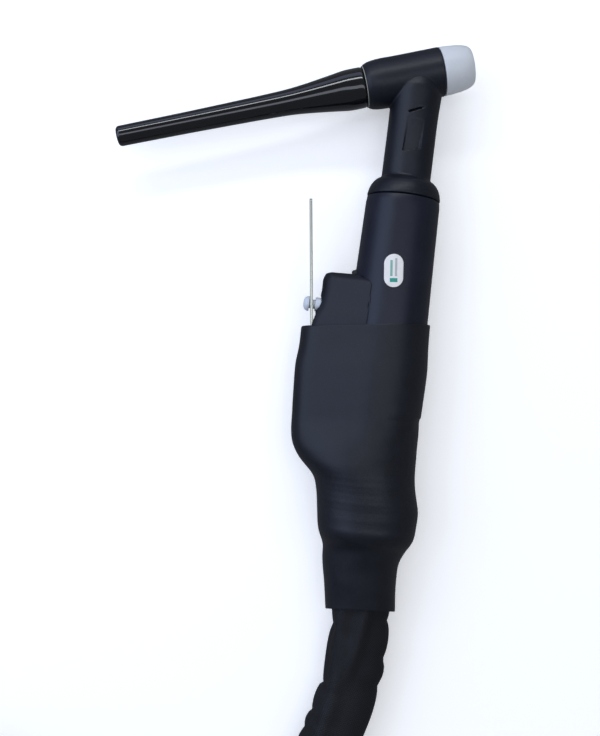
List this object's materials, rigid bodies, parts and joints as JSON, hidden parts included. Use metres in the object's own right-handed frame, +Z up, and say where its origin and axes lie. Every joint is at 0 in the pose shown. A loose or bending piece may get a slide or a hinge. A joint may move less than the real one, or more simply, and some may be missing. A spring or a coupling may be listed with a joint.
{
  "type": "tig torch",
  "caption": "Water-cooled TIG welding torch with long back cap, lamella trigger on a switch boot, heat-shrink sleeve and coiled hose package with plugs.",
  "frame": {"origin": "bottom centre of the torch's own bounding box, without the hose package, on the surface that it lies on", "axes": "+Y up the handle towards the head, +X to the nozzle's side (the nozzle leans 18.4 degrees from +X towards +Y), +Z up from the surface"},
  "size_m": [0.3941, 0.6993, 0.0558],
  "materials": {
    "silicone_rubber": "satin moulded silicone rubber",
    "gloss_phenolic": "glossy moulded phenolic",
    "white_ptfe": "smooth white fluoropolymer",
    "o_ring_rubber": "soft rubber",
    "brass": "turned",
    "copper": "drawn tube",
    "handle_plastic": "satin moulded plastic",
    "label_film": "printed film",
    "boot_rubber": "matte moulded rubber",
    "switch_plastic": "moulded",
    "spring_steel": "rolled strip, fine brushed",
    "stud_plastic": "moulded blue-grey plastic",
    "sleeve_rubber": "shrunk sleeve, soft creases",
    "jacket_textile": "woven textile cover",
    "tie_webbing": "hook-and-loop webbing",
    "hose_rubber": "smooth hose rubber",
    "wire_pvc": "wire insulation",
    "plated_steel": "nickel plated"
  },
  "bodies": {
    "root": {"head_rubber_body": "silicone_rubber", "head_core": "brass", "front_insulator": "white_ptfe", "gas_tube": "copper", "water_inlet_tube": "copper", "power_return_tube": "copper", "gas_hose": "hose_rubber", "water_inlet_hose": "hose_rubber", "power_return_hose": "hose_rubber", "gas_ferrule": "brass", "water_inlet_ferrule": "brass", "power_return_ferrule": "brass", "power_conductor": "copper", "handle_shell": "handle_plastic", "label_sticker": "label_film", "switch_boot": "boot_rubber", "microswitch_body": "switch_plastic", "switch_terminal_a": "brass", "switch_terminal_b": "brass", "switch_wire_a": "wire_pvc", "switch_wire_b": "wire_pvc", "heat_shrink_sleeve": "sleeve_rubber", "cable_jacket_lead": "jacket_textile", "cable_jacket_coil": "jacket_textile", "cable_jacket_inner": "jacket_textile", "coil_tie_1": "tie_webbing", "coil_tie_2": "tie_webbing", "coil_tie_3": "tie_webbing", "coil_tie_4": "tie_webbing", "jacket_splitter": "sleeve_rubber", "power_tail": "hose_rubber", "gas_tail": "hose_rubber", "water_tail": "hose_rubber", "control_tail": "hose_rubber", "power_plug_boot": "hose_rubber", "power_plug_pin": "brass", "power_return_nipple": "plated_steel", "gas_crimp": "brass", "gas_nipple": "brass", "water_crimp": "plated_steel", "water_coupling_nipple": "plated_steel", "control_plug_body": "plated_steel", "control_plug_insert": "switch_plastic"},
    "cap_seal": {"cap_o_ring": "o_ring_rubber"},
    "cap": {"back_cap": "gloss_phenolic", "cap_thread_insert": "brass"},
    "trigger": {"lamella": "spring_steel", "press_stud": "stud_plastic"},
    "plunger": {"microswitch_plunger": "stud_plastic"},
    "gas_nut": {"gas_union_nut": "brass"},
    "plug_ring": {"control_plug_ring": "plated_steel"}
  },
  "joints": [
    {"name": "cap_slide", "type": "slide", "parent": "root", "child": "cap_seal", "axis": [-0.9489, -0.3156, 0], "range_m": [0, 0.0053]},
    {"name": "cap_turn", "type": "hinge", "parent": "cap_seal", "child": "cap", "pos_m": [0.05176, 0.11107, 0.0195], "axis": [-0.9489, -0.3156, 0], "range_deg": [0, 1800]},
    {"name": "lamella_press", "type": "hinge", "parent": "root", "child": "trigger", "pos_m": [0.0191, -0.00693, 0.0195], "axis": [0, 0, -1], "range_deg": [0, 4], "stiffness_Nm_per_rad": 0.5, "springref_deg": -2.86},
    {"name": "plunger_travel", "type": "slide", "parent": "root", "child": "plunger", "axis": [1, 0, 0], "range_m": [0, 0.00095]},
    {"name": "gas_nut_turn", "type": "hinge", "parent": "root", "child": "gas_nut", "pos_m": [-0.09799, -0.41843, 0.0099], "axis": [0, -1, 0], "continuous": true},
    {"name": "plug_ring_turn", "type": "hinge", "parent": "root", "child": "plug_ring", "pos_m": [-0.14599, -0.43443, 0.0103], "axis": [0, -1, 0], "continuous": true}
  ],
  "couplings": [
    {"joint": "cap_slide", "follows": "cap_turn", "m_per_rad": 0.00016839},
    {"joint": "plunger_travel", "follows": "lamella_press", "m_per_rad": 0.013}
  ]
}
